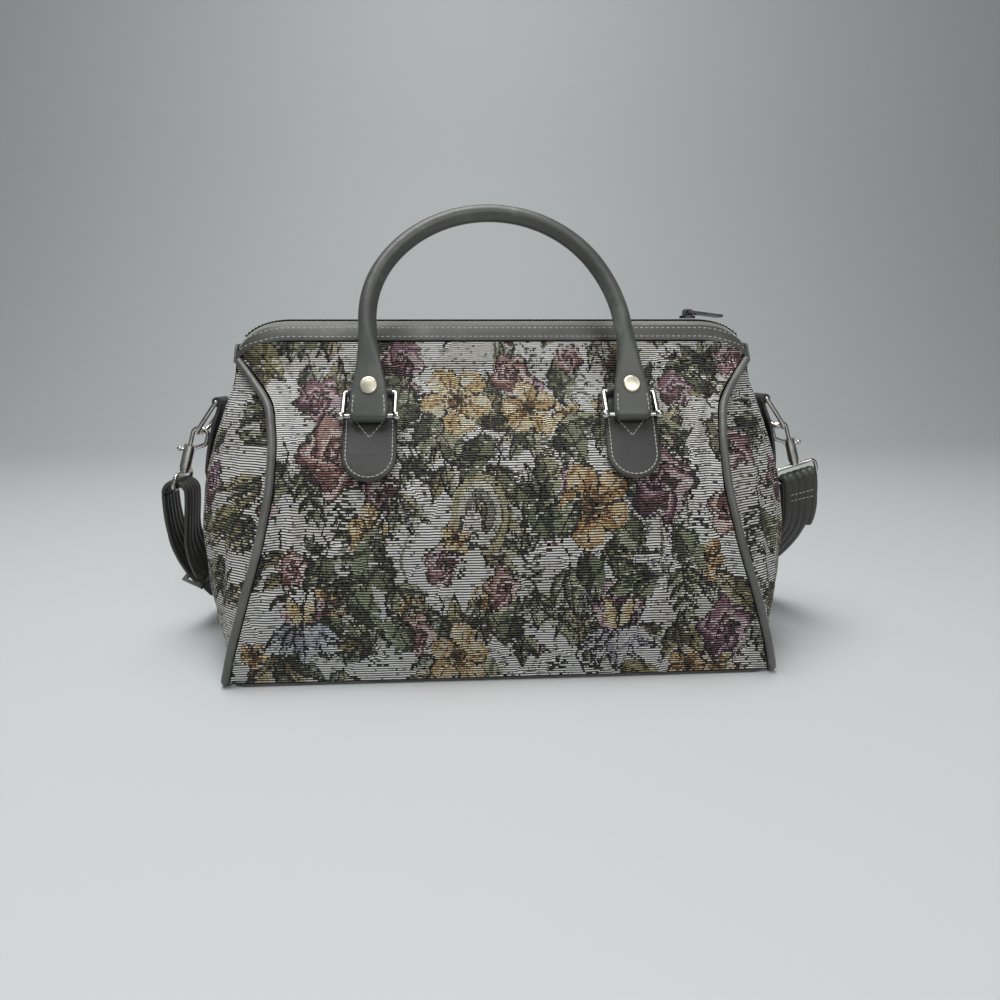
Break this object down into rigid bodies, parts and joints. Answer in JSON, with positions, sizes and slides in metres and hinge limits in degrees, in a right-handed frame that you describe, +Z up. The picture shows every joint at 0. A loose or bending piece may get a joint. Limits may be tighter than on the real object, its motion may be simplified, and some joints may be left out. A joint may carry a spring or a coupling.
{
  "type": "carpet bag",
  "caption": "Tapestry doctor-style hand bag with grey leather trim, two rolled swinging handles, a zip and a clip-on shoulder strap.",
  "frame": {"origin": "centre of the base, on the surface it stands on", "axes": "+Z up, +X to the right along the zip, -Y to the front face"},
  "size_m": [0.4854, 0.3145, 0.306],
  "materials": {
    "tapestry": "woven tapestry with raised white ribs and floral motifs",
    "board": "stiff base board",
    "piping_leather": "grey leather welt, satin",
    "trim_leather": "grey leather binding with two rows of stitches",
    "zip_tape": "grey woven zip tape",
    "zip_metal": "dark metal zip",
    "rivet_cap": "domed cap, warm nickel",
    "handle_leather": "rolled grey leather, satin",
    "patch_leather": "dark grey stitched leather",
    "strap_leather": "dark grey ribbed strap",
    "nickel": "polished nickel"
  },
  "bodies": {
    "root": {"back_binding": "trim_leather", "back_left_chape": "patch_leather", "back_left_pin": "nickel", "back_left_ring": "nickel", "back_panel": "tapestry", "back_right_chape": "patch_leather", "back_right_pin": "nickel", "back_right_ring": "nickel", "back_zip_tape": "zip_tape", "back_zip_teeth": "zip_metal", "base_board": "board", "base_panel": "tapestry", "front_binding": "trim_leather", "front_left_chape": "patch_leather", "front_left_pin": "nickel", "front_left_ring": "nickel", "front_panel": "tapestry", "front_right_chape": "patch_leather", "front_right_pin": "nickel", "front_right_ring": "nickel", "front_zip_tape": "zip_tape", "front_zip_teeth": "zip_metal", "left_gusset": "tapestry", "left_piping": "piping_leather", "left_strap_tab": "patch_leather", "left_swivel_eye": "nickel", "left_zip_stop": "trim_leather", "right_gusset": "tapestry", "right_piping": "piping_leather", "right_strap_tab": "patch_leather", "right_swivel_eye": "nickel", "right_zip_stop": "trim_leather", "shoulder_strap": "strap_leather", "strap_slide": "nickel"},
    "zip_slider": {"zip_slider": "zip_metal"},
    "zip_pull": {"zip_pull": "zip_metal"},
    "front_handle": {"front_handle": "handle_leather", "front_handle_rivets": "rivet_cap"},
    "back_handle": {"back_handle": "handle_leather", "back_handle_rivets": "rivet_cap"},
    "left_dee": {"left_dee": "nickel"},
    "left_hook": {"left_hook": "nickel"},
    "left_trigger": {"left_trigger": "nickel"},
    "right_dee": {"right_dee": "nickel"},
    "right_hook": {"right_hook": "nickel"},
    "right_trigger": {"right_trigger": "nickel"}
  },
  "joints": [
    {"name": "front_handle_swing", "type": "hinge", "parent": "root", "child": "front_handle", "pos_m": [-0.083, -0.06378, 0.16905], "axis": [1, 0, 0], "range_deg": [0, 165]},
    {"name": "back_handle_swing", "type": "hinge", "parent": "root", "child": "back_handle", "pos_m": [-0.083, 0.06378, 0.16905], "axis": [1, 0, 0], "range_deg": [0, 164]},
    {"name": "zip_run", "type": "slide", "parent": "root", "child": "zip_slider", "axis": [-1, 0, 0], "range_m": [0, 0.272]},
    {"name": "zip_pull_flip", "type": "hinge", "parent": "zip_slider", "child": "zip_pull", "pos_m": [0.136, 0, 0.236], "axis": [0, -1, 0], "range_deg": [0, 195]},
    {"name": "left_dee_swing", "type": "hinge", "parent": "root", "child": "left_dee", "pos_m": [-0.19311, 0, 0.17532], "axis": [0, 1, 0], "range_deg": [-3, 2]},
    {"name": "left_hook_swivel", "type": "hinge", "parent": "root", "child": "left_hook", "pos_m": [-0.217, 0, 0.145], "axis": [-0.2924, 0, -0.9563], "range_deg": [-12, 12]},
    {"name": "left_trigger_slide", "type": "slide", "parent": "left_hook", "child": "left_trigger", "axis": [-0.2924, 0, -0.9563], "range_m": [0, 0.005], "stiffness_N_per_m": 150},
    {"name": "right_dee_swing", "type": "hinge", "parent": "root", "child": "right_dee", "pos_m": [0.19311, 0, 0.17532], "axis": [0, -1, 0], "range_deg": [-3, 2]},
    {"name": "right_hook_swivel", "type": "hinge", "parent": "root", "child": "right_hook", "pos_m": [0.217, 0, 0.145], "axis": [0.2924, 0, -0.9563], "range_deg": [-12, 12]},
    {"name": "right_trigger_slide", "type": "slide", "parent": "right_hook", "child": "right_trigger", "axis": [0.2924, 0, -0.9563], "range_m": [0, 0.005], "stiffness_N_per_m": 150}
  ]
}
